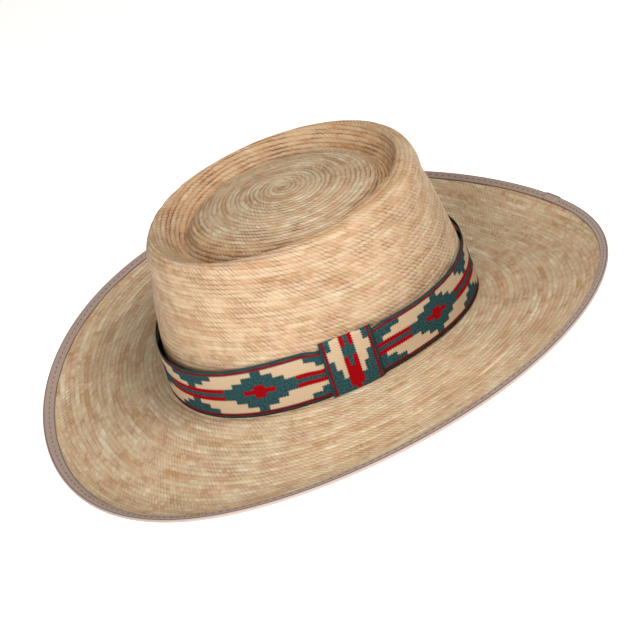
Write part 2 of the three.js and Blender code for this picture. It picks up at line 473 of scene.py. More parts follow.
class Graph:
    """Adds nodes to one tree and links them."""

    def __init__(self, tree: bpy.types.NodeTree) -> None:
        """Starts on a tree."""
        self.tree = tree

    def node(self, kind: str, sockets: dict | None = None, **settings: object) -> bpy.types.Node:
        """Adds a node.

        Args:
            kind: Blender's name for the node.
            sockets: Values or sockets to feed to its inputs, by name or number.
            **settings: The node's own properties.

        Returns:
            The node.
        """
        made = self.tree.nodes.new(kind)
        for name, value in settings.items():
            setattr(made, name, value)
        for key, value in (sockets or {}).items():
            if isinstance(value, Socket):
                self.tree.links.new(value, made.inputs[key])
            else:
                made.inputs[key].default_value = value
        return made

    def math(self, operation: str, *terms: object, clamp: bool = False) -> Socket:
        """Adds a Math node with the operation's name and its terms, and returns its socket."""
        made = self.node("ShaderNodeMath", dict(enumerate(terms)), operation=operation, use_clamp=clamp)
        return made.outputs[0]

    def times(self, first: object, second: object) -> Socket:
        """Multiplies two values."""
        return self.math("MULTIPLY", first, second)

    def plus(self, first: object, second: object, clamp: bool = False) -> Socket:
        """Adds two values."""
        return self.math("ADD", first, second, clamp=clamp)

    def minus(self, first: object, second: object) -> Socket:
        """Takes the second value from the first."""
        return self.math("SUBTRACT", first, second)

    def times_plus(self, first: object, second: object, added: object) -> Socket:
        """Multiplies two values and adds a third."""
        return self.math("MULTIPLY_ADD", first, second, added)

    def scale(self, value: object, low: float, high: float) -> Socket:
        """Spreads a value from 0..1 over low..high and returns the socket."""
        return self.times_plus(value, high - low, low)

    def step(self, value: object, low: float, high: float) -> Socket:
        """Adds a smooth step.

        Args:
            value: Where to read it.
            low: Where it is 0.
            high: Where it is 1.

        Returns:
            The socket of its value.
        """
        made = self.node("ShaderNodeMapRange", {
            "Value": value, "From Min": low, "From Max": high,
        }, interpolation_type="SMOOTHSTEP")
        return made.outputs["Result"]

    def between(self, value: object, rise: Pair, fall: Pair) -> Socket:
        """Adds a window that opens smoothly over one range and closes over another."""
        return self.times(self.step(value, *rise), self.step(value, fall[1], fall[0]))

    def inside(self, value: object, low: object, high: object) -> Socket:
        """Tells with 1 or 0 whether a value lies above a lower limit and below an upper one."""
        return self.times(self.math("GREATER_THAN", value, low), self.math("LESS_THAN", value, high))

    def arch(self, value: object, power: float) -> Socket:
        """Rounds a value of 0..1 into one arch, fuller for a lower power."""
        return self.math("POWER", self.math("SINE", self.times(value, math.pi)), power)

    def mix_value(self, share: object, first: object, second: object) -> Socket:
        """Blends two values, the share being how much of the second."""
        return self.node("ShaderNodeMix", {0: share, 2: first, 3: second}, data_type="FLOAT").outputs[0]

    def mix(self, share: object, first: object, second: object) -> Socket:
        """Mixes two colours, the share being how much of the second."""
        return self.node("ShaderNodeMix", {0: share, 6: first, 7: second}, data_type="RGBA").outputs[2]

    def vector(self, x: object, y: object, z: object = 0.0) -> Socket:
        """Joins three numbers into a vector and returns its socket."""
        return self.node("ShaderNodeCombineXYZ", {0: x, 1: y, 2: z}).outputs[0]

    def noise(self, place: object, scale: object, detail: float = 2.0) -> Socket:
        """Adds a noise texture at a place, with its scale and number of octaves."""
        made = self.node("ShaderNodeTexNoise", {"Vector": place, "Scale": scale, "Detail": detail})
        return made.outputs["Fac"]

    def wander(self, place: object, scale: float, reach: float) -> Socket:
        """Lets a value wander slowly up to a reach either way."""
        return self.scale(self.noise(place, scale), -reach, reach)

    def ramp(
        self, value: object, stops: list[tuple[float, tuple[float, ...]]], interpolation: str = "LINEAR",
    ) -> bpy.types.Node:
        """Adds a colour ramp.

        Args:
            value: Where to read it.
            stops: Positions and colours in rising order.
            interpolation: Blender's name for the way between stops.

        Returns:
            The node.
        """
        made = self.node("ShaderNodeValToRGB", {0: value})
        made.color_ramp.interpolation = interpolation
        elements = made.color_ramp.elements
        while len(elements) < len(stops):
            elements.new(1.0)
        for element, (position, colour) in zip(elements, stops):
            element.position, element.color = position, colour
        return made

    def pattern(self) -> tuple[Socket, Socket]:
        """Reads the pattern map and returns its places along and across."""
        place = self.node("ShaderNodeUVMap", uv_map=PATTERN).outputs[0]
        split = self.node("ShaderNodeSeparateXYZ", {0: place}).outputs
        return split[0], split[1]

    def own_place(self) -> Socket:
        """Reads the Object coordinates."""
        return self.node("ShaderNodeTexCoord").outputs["Object"]


def add_sockets(tree: bpy.types.NodeTree, in_out: str, kinds: dict[str, str]) -> None:
    """Adds inputs or outputs to a tree, given their kinds by name."""
    for name, kind in kinds.items():
        tree.interface.new_socket(name=name, in_out=in_out, socket_type=f"NodeSocket{kind}")


class Effect(Enum):
    """Shader effects that more than one finish uses."""

    TONE_DRIFT = "tone drift"
    FIBRE_GRAIN = "fibre grain"
    WOVEN_RIBS = "woven ribs"


def shader_group(effect: Effect) -> bpy.types.NodeTree:
    """Finds an effect's node group, and builds it the first time.

    Args:
        effect: The effect.

    Returns:
        The node group.
    """
    if effect.value in bpy.data.node_groups:
        return bpy.data.node_groups[effect.value]
    tree = bpy.data.node_groups.new(effect.value, "ShaderNodeTree")
    graph = Graph(tree)
    add_sockets(tree, "INPUT", {
        Effect.TONE_DRIFT: {"Colour": "Color", "Size": "Float", "Strength": "Float"},
        Effect.FIBRE_GRAIN: {"Along": "Float", "Across": "Float"},
        Effect.WOVEN_RIBS: {"Place": "Float", "Count": "Float"},
    }[effect])
    add_sockets(tree, "OUTPUT", {"Result": "Color" if effect is Effect.TONE_DRIFT else "Float"})
    given = graph.node("NodeGroupInput").outputs
    if effect is Effect.TONE_DRIFT:
        shift = graph.minus(graph.noise(graph.own_place(), given["Size"], FINE_OCTAVES), NOISE_MIDDLE)
        value = graph.times_plus(shift, given["Strength"], 1.0)
        made = graph.node("ShaderNodeHueSaturation", {"Color": given["Colour"], "Value": value})
        answer = made.outputs[0]
    elif effect is Effect.FIBRE_GRAIN:
        answer = graph.noise(graph.vector(given["Along"], given["Across"]), 1.0, FINE_OCTAVES)
    else:
        wave = graph.math("SINE", graph.times(given["Place"], graph.times(given["Count"], TURN)))
        answer = graph.times_plus(wave, 0.5, 0.5)
    graph.node("NodeGroupOutput", {"Result": answer})
    return tree


def place_effect(graph: Graph, effect: Effect, sockets: dict[str, object]) -> Socket:
    """Places an effect's group in a material, and returns the socket of its result."""
    return graph.node("ShaderNodeGroup", sockets, node_tree=shader_group(effect)).outputs[0]


def drift(graph: Graph, colour: object, size: float, strength: float) -> Socket:
    """Lets a colour's tone drift over the piece."""
    return place_effect(graph, Effect.TONE_DRIFT, {"Colour": colour, "Size": size, "Strength": strength})


def grain(graph: Graph, along: object, across: object) -> Socket:
    """Reads the grain of fibres."""
    return place_effect(graph, Effect.FIBRE_GRAIN, {"Along": along, "Across": across})


def ribs(graph: Graph, place: object, count: float) -> Socket:
    """Reads the wave of woven ribs, so many to each unit of the place."""
    return place_effect(graph, Effect.WOVEN_RIBS, {"Place": place, "Count": count})


def new_material(name: str) -> tuple[Material, Graph]:
    """Makes an empty node material.

    Args:
        name: The finish's name.

    Returns:
        The material, and the graph that fills it.
    """
    material = bpy.data.materials.new(name)
    material.use_nodes = True
    material.node_tree.nodes.clear()
    return material, Graph(material.node_tree)


@dataclass(frozen=True)
class Surface:
    """How a dry surface takes light: its relief in millimetres, and its shine."""

    relief: float
    strength: float
    specular: float
    sheen: float = 0.0
    sheen_roughness: float = 0.6

    def finish(self, graph: Graph, colour: Socket, roughness: object, height: Socket) -> None:
        """Ends a material in a Bump node and a Principled BSDF.

        Args:
            graph: The material's graph.
            colour: The base colour.
            roughness: The roughness.
            height: The height of the relief, 1 being its full depth.
        """
        bump = graph.node("ShaderNodeBump", {
            "Height": height, "Distance": self.relief * MM, "Strength": self.strength,
        }).outputs[0]
        shader = graph.node("ShaderNodeBsdfPrincipled", {
            "Base Color": colour, "Roughness": roughness, "Specular IOR Level": self.specular,
            "Sheen Weight": self.sheen, "Sheen Roughness": self.sheen_roughness, "Normal": bump,
        })
        graph.node("ShaderNodeOutputMaterial", {"Surface": shader.outputs[0]})


# Finishes

@dataclass(frozen=True)
class Patches:
    """Random patches of braid: how fast they change along and out, their seed, and their soft edge."""

    along: float
    out: float
    seed: float = 0.0
    start: float = 0.0
    full: float = 1.0

    def tone(self, graph: Graph, strands: Socket, row: Socket) -> Socket:
        """Reads the patches as a soft tone."""
        place = graph.vector(graph.times(strands, self.along), graph.times(row, self.out), self.seed)
        return graph.noise(place, 1.0)

    def mask(self, graph: Graph, strands: Socket, row: Socket) -> Socket:
        """Reads the patches as a mask."""
        return graph.step(self.tone(graph, strands, row), self.start, self.full)


@dataclass(frozen=True)
class Zones:
    """Tells the crown's wall and the brim from the crown's top, by the row of braid."""

    graph: Graph
    on_wall: Socket
    on_brim: Socket

    def pick(self, values: Triple) -> Socket:
        """Picks a value for the top, the brim or the wall."""
        return self.graph.mix_value(self.on_wall, self.graph.scale(self.on_brim, *values[:2]), values[2])


@dataclass(frozen=True)
class PalmStraw:
    """Palm leaf in slanted strands, sewn in rows: the pattern map counts strands along and rows out.

    A field of three numbers holds the value on the crown's top, on the brim and on the wall.
    """

    leaf: tuple[tuple[float, str], ...] = (
        (0.30, "#BAA87E"), (0.41, "#C6A279"), (0.49, "#D8B797"), (0.56, "#DAC39B"), (0.68, "#EEDCBE"),
    )
    cream: str = "#EEDCBE"
    burnt: str = "#B27440"
    # Colour of the random warm patches, also used as painted shade on the crown's inner wall.
    warm_and_shade_tone: str = "#BE8248"
    gap: str = "#5E331C"
    wall: Pair = (28.0, 59.0)
    inner_wall: Pair = (18.0, 28.0)
    # The rows round the groove between rim and button, whose row lines get painted shade.
    groove: Pair = (15.5, 27.0)
    blur: float = 2.0
    groove_start: float = 1.0
    row_wander: Pair = (260.0, 0.2)
    sway: Pair = (45.0, 0.4)
    shiver: Pair = (330.0, 0.3)
    wear_size: float = 85.0
    wear_edge: Pair = (0.36, 0.62)
    row_tone: Patches = Patches(0.16, 5.3)
    cloud_tone: Patches = Patches(0.11, 0.3)
    row_tone_share: float = 0.4
    strand_tone: float = 0.06
    middle_tone: float = 0.51
    tone: Triple = (0.53, 0.53, 0.488)
    contrast: Triple = (0.9, 0.84, 0.62)
    burnt_patches: Patches = Patches(0.42, 3.1, 7.0, 0.60, 0.74)
    burnt_share: Triple = (0.45, 0.45, 0.3)
    pale_patches: Patches = Patches(0.5, 2.3, 31.0, 0.58, 0.72)
    pale_share: Triple = (0.45, 0.38, 0.25)
    warm_patches: Patches = Patches(0.05, 0.21, 3.0, 0.45, 0.75)
    warm_share: float = 0.35
    # Painted shade: how much the inner wall's rows are tinted darker and warmer, for the shade and warm
    # bounced light in that recess.
    inner_wall_painted_shade: float = 0.28
    strand_arch: float = 0.6
    row_arch: float = 0.4
    fibre: Pair = (0.8, 7.0)
    strand_shade: Triple = (0.20, 0.19, 0.33)
    strand_odds: Pair = (0.4, 1.6)
    strand_wear: Pair = (0.35, 1.25)
    tight_rows: Patches = Patches(0.09, 4.1, 17.0, 0.30, 0.66)
    row_shade: Triple = (0.78, 0.42, 0.58)
    row_wear: Pair = (0.45, 1.2)
    # Painted shade: how much darker the row lines are made in the groove.
    groove_painted_shade: float = 1.55
    fibre_shade: Pair = (-0.12, 0.20)
    drift_size: float = 14.0
    drift_strength: float = 0.24
    strand_height: Pair = (0.6, 0.5)
    row_height: Triple = (0.9, 0.4, 0.4)
    fibre_height: float = 0.3
    roughness: Pair = (0.50, 0.70)
    surface: Surface = Surface(0.40, 0.9, 0.28)

    def zone(self, graph: Graph, rows: Socket, ends: Pair, start: float) -> Socket:
        """Opens a window over a zone of rows, from its two ends and how late it is fully open."""
        first, last = ends
        return graph.between(rows, (first - self.blur, first + start), (last - self.blur, last + self.blur))

    def material(self) -> Material:
        """Builds the finish and returns it."""
        material, graph = new_material("palm straw")
        strands, out = graph.pattern()
        point = graph.own_place()
        rows = graph.plus(out, graph.wander(point, *self.row_wander))
        in_row = graph.math("FRACT", rows)
        row = graph.math("FLOOR", rows)
        sway = graph.wander(point, *self.sway)
        shiver = graph.wander(point, *self.shiver)
        wear = graph.step(graph.noise(point, self.wear_size), *self.wear_edge)
        phase = graph.plus(graph.minus(strands, in_row), graph.plus(sway, shiver))
        chance = graph.node("ShaderNodeTexWhiteNoise", {
            "Vector": graph.vector(graph.math("FLOOR", phase), row),
        }, noise_dimensions="3D").outputs
        odds = graph.node("ShaderNodeSeparateColor", {0: chance["Color"]}).outputs
        wall_end = self.wall[1]
        zones = Zones(graph, self.zone(graph, rows, self.wall, self.blur),
                      graph.step(rows, wall_end - self.blur, wall_end + self.blur))

        clouds = graph.times(self.cloud_tone.tone(graph, strands, rows), 1 - self.row_tone_share)
        tone = graph.times_plus(self.row_tone.tone(graph, strands, row), self.row_tone_share, clouds)
        tone = graph.plus(tone, graph.scale(odds[0], -self.strand_tone, self.strand_tone))
        tone = graph.times_plus(graph.minus(tone, self.middle_tone), zones.pick(self.contrast),
                                zones.pick(self.tone))
        colour = graph.ramp(tone, [(place, linear(code)) for place, code in self.leaf]).outputs[0]
        burnt = graph.times(self.burnt_patches.mask(graph, strands, row), zones.pick(self.burnt_share))
        colour = graph.mix(burnt, colour, linear(self.burnt))
        pale = graph.times(self.pale_patches.mask(graph, strands, row), zones.pick(self.pale_share))
        colour = graph.mix(pale, colour, linear(self.cream))

        strand_arch = graph.arch(graph.math("FRACT", phase), self.strand_arch)
        row_arch = graph.arch(in_row, self.row_arch)
        fibre = grain(graph, graph.times(graph.plus(strands, in_row), self.fibre[0]),
                      graph.times(phase, self.fibre[1]))
        strand_shade = graph.times(zones.pick(self.strand_shade), graph.scale(odds[1], *self.strand_odds))
        strand_depth = graph.times(strand_shade, graph.scale(wear, *self.strand_wear))
        # Painted shade: the row lines darken more in the groove by the rim, where shade falls.
        groove_shade_mask = self.zone(graph, rows, self.groove, self.groove_start)
        row_shade = graph.times(zones.pick(self.row_shade), graph.scale(groove_shade_mask, 1.0, self.groove_painted_shade))
        row_depth = graph.times(graph.times(self.tight_rows.mask(graph, strands, row), row_shade),
                                graph.scale(wear, *self.row_wear))
        dark = graph.plus(graph.times(graph.minus(1.0, strand_arch), strand_depth),
                          graph.times(graph.minus(1.0, row_arch), row_depth))
        dark = graph.plus(dark, graph.scale(fibre, *self.fibre_shade), clamp=True)
        # Random warm patches, plus painted shade: the inner wall is tinted darker and warmer all round.
        warmth_and_shade = graph.times_plus(
            self.zone(graph, rows, self.inner_wall, self.blur), self.inner_wall_painted_shade,
            graph.times(self.warm_patches.mask(graph, strands, row), self.warm_share))
        colour = graph.mix(warmth_and_shade, colour, linear(self.warm_and_shade_tone))
        # The dark gaps between strands and rows, darker still in the groove with painted shade.
        colour = graph.mix(dark, colour, linear(self.gap))
        colour = drift(graph, colour, self.drift_size, self.drift_strength)

        height = graph.times_plus(row_arch, zones.pick(self.row_height),
                                  graph.times(fibre, self.fibre_height))
        height = graph.times_plus(strand_arch, graph.scale(zones.on_brim, *self.strand_height), height)
        self.surface.finish(graph, colour, graph.scale(odds[2], *self.roughness), height)
        return material


@dataclass(frozen=True)
class Column:
    """One column of the ribbon's chart, in millimetres out from the ribbon's middle."""

    teal: float
    cream_to: float
    red_from: float = 0.0
    red_to: float = 0.0

    def shares(self, half_width: float) -> tuple[float, ...]:
        """Returns the column's limits as shares of the ribbon's half width."""
        return tuple(limit / half_width for limit in (self.teal, self.cream_to, self.red_from, self.red_to))


class Chart(Enum):
    """The woven charts, column by column along the ribbon."""

    BAND = (
        Column(3.9, 12.9), Column(6.8, 12.9), Column(9.9, 12.9, 0, 1.45), Column(12.9, 12.9, 0, 4.0),
        Column(9.9, 12.9, 0, 1.45), Column(6.8, 12.9), Column(3.9, 12.9),
        Column(4.0, 12.9, 1.3, 4.0), Column(4.0, 9.8, 1.3, 4.0), Column(4.0, 6.9, 1.3, 4.0),
        Column(4.0, 4.0, 1.3, 4.0), Column(4.0, 6.9, 1.3, 4.0), Column(4.0, 9.8, 1.3, 4.0),
        Column(4.0, 12.9, 1.3, 4.0),
    )
    KEEPER = (
        Column(12.9, 12.9, 0, 1.5), Column(12.9, 12.9, 0, 4.2), Column(4.2, 6.9, 0, 4.2),
        Column(4.2, 9.8, 1.3, 4.2), Column(4.0, 12.9), Column(4.0, 9.8, 1.3, 4.0),
        Column(4.0, 6.9, 1.3, 4.0), Column(4.0, 4.0, 1.3, 4.0),
    )


@dataclass(frozen=True)
class Yarn:
    """A yarn's two colours, and how far the mask that picks them is spread."""

    first: str
    second: str
    share: float

    def colour(self, graph: Graph, mask: Socket) -> Socket:
        """Shades the yarn by a mask."""
        return graph.mix(graph.scale(mask, 0.0, self.share), linear(self.first), linear(self.second))


@dataclass(frozen=True)
class PatternedRibbon:
    """A woven ribbon with stepped diamonds: the pattern map counts columns along and shares across."""

    chart: Chart
    half_width: float = RIBBON_WIDTH / 2
    teal: str = "#375C5F"
    deep_teal: str = "#1B3538"
    teal_edge: Pair = (0.25, 0.75)
    cream: Yarn = Yarn("#D0B89A", "#B89C78", 0.5)
    red: Yarn = Yarn("#A4000C", "#86030C", 0.8)
    wine: Yarn = Yarn("#8E0B18", "#33131A", 0.85)
    selvage: Yarn = Yarn("#0F2426", "#3A5A57", 0.9)
    line: Pair = (13.2, 14.7)
    thread_share: float = 0.002
    tooth: float = 1.6
    tooth_depth: float = 0.9
    notch_depth: float = 0.1
    rib: float = 0.75
    rib_height: float = 0.5
    twill_count: float = 0.7
    twist_edge: Pair = (0.3, 0.7)
    fibre: Pair = (26.0, 6.0)
    drift_size: float = 30.0
    drift_strength: float = 0.18
    roughness: float = 0.85
    surface: Surface = Surface(0.12, 0.7, 0.08)

    def toothed(self, graph: Graph, place: Socket, depth: float, along: Socket, rate: float) -> Socket:
        """Gives a place the small teeth that the weave leaves along each step.

        Args:
            graph: The material's graph.
            place: The place to give teeth to.
            depth: How deep the teeth are.
            along: Where the teeth are counted.
            rate: How many of them go to one unit of it.

        Returns:
            The toothed place.
        """
        teeth = graph.math("PINGPONG", graph.times(along, rate), 0.5)
        return graph.times_plus(teeth, 2 * depth, graph.minus(place, depth / 2))

    def material(self) -> Material:
        """Builds the finish and returns it."""
        material, graph = new_material(f"patterned ribbon {self.chart.name.lower()}")
        along, across = graph.pattern()
        signed = graph.times(graph.minus(across, 0.5), 2 * self.half_width)
        out = self.toothed(graph, graph.math("ABSOLUTE", signed), self.tooth_depth, along,
                           RIBBON_COLUMN / self.tooth)
        column = self.toothed(graph, along, self.notch_depth, signed, 1 / self.tooth)

        columns = self.chart.value
        count = len(columns)
        turn = graph.math("FRACT", graph.math("DIVIDE", graph.math("FLOOR", column), float(count)))
        ramp = graph.ramp(graph.plus(turn, 0.5 / count), [
            (number / count, entry.shares(self.half_width)) for number, entry in enumerate(columns)
        ], "CONSTANT")
        limits = graph.node("ShaderNodeSeparateColor", {0: ramp.outputs["Color"]}).outputs
        share = graph.math("DIVIDE", out, self.half_width)
        in_teal = graph.math("MAXIMUM", graph.math("LESS_THAN", share, limits[0]),
                             graph.math("GREATER_THAN", share, limits[1]))
        in_red = graph.inside(graph.math("MAXIMUM", share, self.thread_share), limits[2],
                              ramp.outputs["Alpha"])

        streak = grain(graph, graph.times(across, self.fibre[0]), graph.times(along, self.fibre[1]))
        rib = ribs(graph, along, RIBBON_COLUMN / self.rib)
        twill = ribs(graph, graph.times_plus(along, RIBBON_COLUMN, signed), self.twill_count)
        twist = graph.step(twill, *self.twist_edge)
        teal = graph.mix(graph.step(streak, *self.teal_edge), linear(self.deep_teal), linear(self.teal))
        colour = graph.mix(in_teal, self.cream.colour(graph, streak), teal)
        colour = graph.mix(in_red, colour, self.red.colour(graph, streak))
        colour = graph.mix(graph.inside(out, *self.line), colour, self.wine.colour(graph, twist))
        colour = graph.mix(graph.math("GREATER_THAN", out, self.line[1]), colour,
                           self.selvage.colour(graph, twist))
        colour = drift(graph, colour, self.drift_size, self.drift_strength)
        height = graph.plus(graph.times(rib, self.rib_height), streak)
        self.surface.finish(graph, colour, self.roughness, height)
        return material


@dataclass(frozen=True)
class BindingRibbon:
    """Ribbed ribbon folded over the brim's edge: the pattern map is in millimetres both ways."""

    base: str = "#B8A093"
    dark: str = "#8C7264"
    # Colour of the darker selvage along the inner edge, also used as painted shade along the fold.
    selvage: str = "#5E4439"
    # Painted highlight: a pale strip on the fold's outer side, for light bounced up from the floor.
    painted_highlight: str = "#DACBC2"
    rib: float = 0.9
    rib_shade: float = 0.25
    fibre: Pair = (0.5, 2.4)
    fibre_shade: float = 0.4
    upper_edge: Pair = (0.25, 0.55)
    # Painted shade: a dark line along the fold's crest, across these places.
    fold_shade_rise: Pair = (5.8, 6.0)
    fold_shade_fall: Pair = (6.4, 6.55)
    selvage_and_fold_shade_share: float = 0.75
    highlight_rise: Pair = (6.4, 6.6)
    highlight_fall: Pair = (8.0, 8.4)
    highlight_share: float = 0.35
    drift_size: float = 22.0
    drift_strength: float = 0.2
    rib_height: float = 0.7
    fibre_height: float = 0.6
    roughness: float = 0.74
    surface: Surface = Surface(0.14, 0.8, 0.25, 0.22)

    def material(self) -> Material:
        """Builds the finish and returns it."""
        material, graph = new_material("binding ribbon")
        along, across = graph.pattern()
        rib = ribs(graph, along, 1 / self.rib)
        streak = grain(graph, graph.times(across, self.fibre[0]), graph.times(along, self.fibre[1]))
        shade = graph.times_plus(rib, self.rib_shade, graph.times(streak, self.fibre_shade))
        colour = graph.mix(shade, linear(self.base), linear(self.dark))
        # Painted highlight: the fold's outer side is made paler.
        painted_highlight = graph.between(across, self.highlight_rise, self.highlight_fall)
        colour = graph.mix(graph.times(painted_highlight, self.highlight_share), colour, linear(self.painted_highlight))
        # A darker selvage along the inner edge, plus painted shade as a dark line along the fold's crest.
        edge = graph.math("MAXIMUM", graph.step(across, *self.upper_edge[::-1]),
                          graph.between(across, self.fold_shade_rise, self.fold_shade_fall))
        colour = graph.mix(graph.times(edge, self.selvage_and_fold_shade_share), colour, linear(self.selvage))
        colour = drift(graph, colour, self.drift_size, self.drift_strength)
        height = graph.times_plus(rib, self.rib_height, graph.times(streak, self.fibre_height))
        self.surface.finish(graph, colour, self.roughness, height)
        return material


@dataclass(frozen=True)
class Thread:
    """The thread of the stitches."""

    base: str = "#604B42"
    light: str = "#7C6459"
    twists: float = 2500.0
    roughness: float = 0.7
    surface: Surface = Surface(0.05, 0.6, 0.25)

    def material(self) -> Material:
        """Builds the finish and returns it."""
        material, graph = new_material("thread")
        split = graph.node("ShaderNodeSeparateXYZ", {0: graph.own_place()}).outputs
        twist = ribs(graph, graph.plus(split[0], graph.plus(split[1], split[2])), self.twists)
        colour = graph.mix(twist, linear(self.base), linear(self.light))
        self.surface.finish(graph, colour, self.roughness, twist)
        return material


@dataclass(frozen=True)
class StudioFloor:
    """The plain pale floor."""

    base: str = "#F4F3F0"
    glow: float = 0.85
    roughness: float = 0.9
    specular: float = 0.1

    def material(self) -> Material:
        """Builds the finish and returns it."""
        material, graph = new_material("studio floor")
        shader = graph.node("ShaderNodeBsdfPrincipled", {
            "Base Color": linear(self.base), "Emission Color": linear(self.base),
            "Emission Strength": self.glow, "Roughness": self.roughness, "Specular IOR Level": self.specular,
        })
        graph.node("ShaderNodeOutputMaterial", {"Surface": shader.outputs[0]})
        return material


# Geometry Nodes

def geometry_tree(name: str, inputs: dict[str, str]) -> tuple[bpy.types.NodeTree, Graph]:
    """Starts a Geometry Nodes tree.

    Args:
        name: The tree's name.
        inputs: The kinds of its inputs after the geometry, by name.

    Returns:
        The tree and its graph.
    """
    tree = bpy.data.node_groups.new(name, "GeometryNodeTree")
    add_sockets(tree, "INPUT", {"Geometry": "Geometry", **inputs})
    add_sockets(tree, "OUTPUT", {"Geometry": "Geometry"})
    return tree, Graph(tree)


def finish_tree(graph: Graph, shape: Socket, material: Socket) -> None:
    """Ends a tree in Realize Instances and Set Material.

    Args:
        graph: The tree's graph.
        shape: The geometry.
        material: The finish.
    """
    real = graph.node("GeometryNodeRealizeInstances", {0: shape}).outputs[0]
    dressed = graph.node("GeometryNodeSetMaterial", {"Geometry": real, "Material": material}).outputs[0]
    graph.node("NodeGroupOutput", {0: dressed})


def run_tree(piece: Piece, tree: bpy.types.NodeTree, values: dict[str, object]) -> None:
    """Runs a tree on a piece and keeps the result as a plain mesh.

    Args:
        piece: The piece.
        tree: The tree.
        values: The inputs, by name.
    """
    modifier = piece.modifiers.new(tree.name, "NODES")
    modifier.node_group = tree
    for item in tree.interface.items_tree:
        if item.item_type == "SOCKET" and item.in_out == "INPUT" and item.name in values:
            modifier[item.identifier] = values[item.name]
    keep_result(piece)


def row_relief_tree() -> bpy.types.NodeTree:
    """Builds the tree that rounds every row of braid, and returns it."""
    tree, graph = geometry_tree("braid rows", {
        "Relief": "Float", "Level": "Float", "Waviness": "Float",
        "Wave size": "Float", "Material": "Material",
    })
    given = graph.node("NodeGroupInput").outputs
    row = graph.node("GeometryNodeInputNamedAttribute", {"Name": "row"}, data_type="FLOAT").outputs[0]
    arch = graph.math("SINE", graph.times(graph.math("FRACT", row), math.pi))
    cloud = graph.noise(graph.node("GeometryNodeInputPosition").outputs[0], given["Wave size"])
    wave = graph.times(graph.minus(cloud, NOISE_MIDDLE), given["Waviness"])
    height = graph.times_plus(graph.minus(arch, given["Level"]), given["Relief"], wave)
    normal = graph.node("GeometryNodeInputNormal").outputs[0]
    offset = graph.node("ShaderNodeVectorMath", {0: normal, "Scale": height}, operation="SCALE").outputs[0]
    moved = graph.node("GeometryNodeSetPosition", {
        "Geometry": given["Geometry"], "Offset": offset,
    }).outputs[0]
    finish_tree(graph, moved, given["Material"])
    return tree


def stitch_tree() -> bpy.types.NodeTree:
    """Builds the tree that lays stitches along a line on a surface, and returns it."""
    tree, graph = geometry_tree(STITCH_ROW, {
        "Spacing": "Float", "Length": "Float", "Thickness": "Float",
        "Unevenness": "Float", "Seed": "Int", "Material": "Material",
    })
    given = graph.node("NodeGroupInput").outputs
    line = graph.node("GeometryNodeMeshToCurve", {0: given["Geometry"]}).outputs[0]
    spaced = graph.node("GeometryNodeResampleCurve", {
        "Curve": line, "Length": given["Spacing"],
    }, mode="LENGTH").outputs[0]
    ball = graph.node("GeometryNodeMeshUVSphere", STITCH_BALL).outputs[0]
    size = graph.vector(given["Length"], given["Thickness"], given["Thickness"])
    stitch = graph.node("GeometryNodeTransform", {"Geometry": ball, "Scale": size}).outputs[0]
    tangent = graph.node("GeometryNodeInputTangent").outputs[0]
    up = graph.node("GeometryNodeInputNamedAttribute", {"Name": "up"}, data_type="FLOAT_VECTOR").outputs[0]
    along = graph.node("FunctionNodeAlignRotationToVector", {"Vector": tangent}, axis="X").outputs[0]
    upright = graph.node("FunctionNodeAlignRotationToVector", {
        "Rotation": along, "Vector": up,
    }, axis="Z", pivot_axis="X").outputs[0]
    lean = graph.node("FunctionNodeRandomValue", {
        2: graph.times(given["Unevenness"], -1.0), 3: given["Unevenness"], "Seed": given["Seed"],
    }, data_type="FLOAT").outputs[1]
    turn = graph.node("FunctionNodeAxisAngleToRotation", {"Axis": (0, 0, 1), "Angle": lean}).outputs[0]
    turned = graph.node("FunctionNodeRotateRotation", {
        "Rotation": upright, "Rotate By": turn,
    }, rotation_space="LOCAL").outputs[0]
    laid = graph.node("GeometryNodeInstanceOnPoints", {
        "Points": spaced, "Instance": stitch, "Rotation": turned,
    }).outputs[0]
    finish_tree(graph, laid, given["Material"])
    return tree


# Pieces

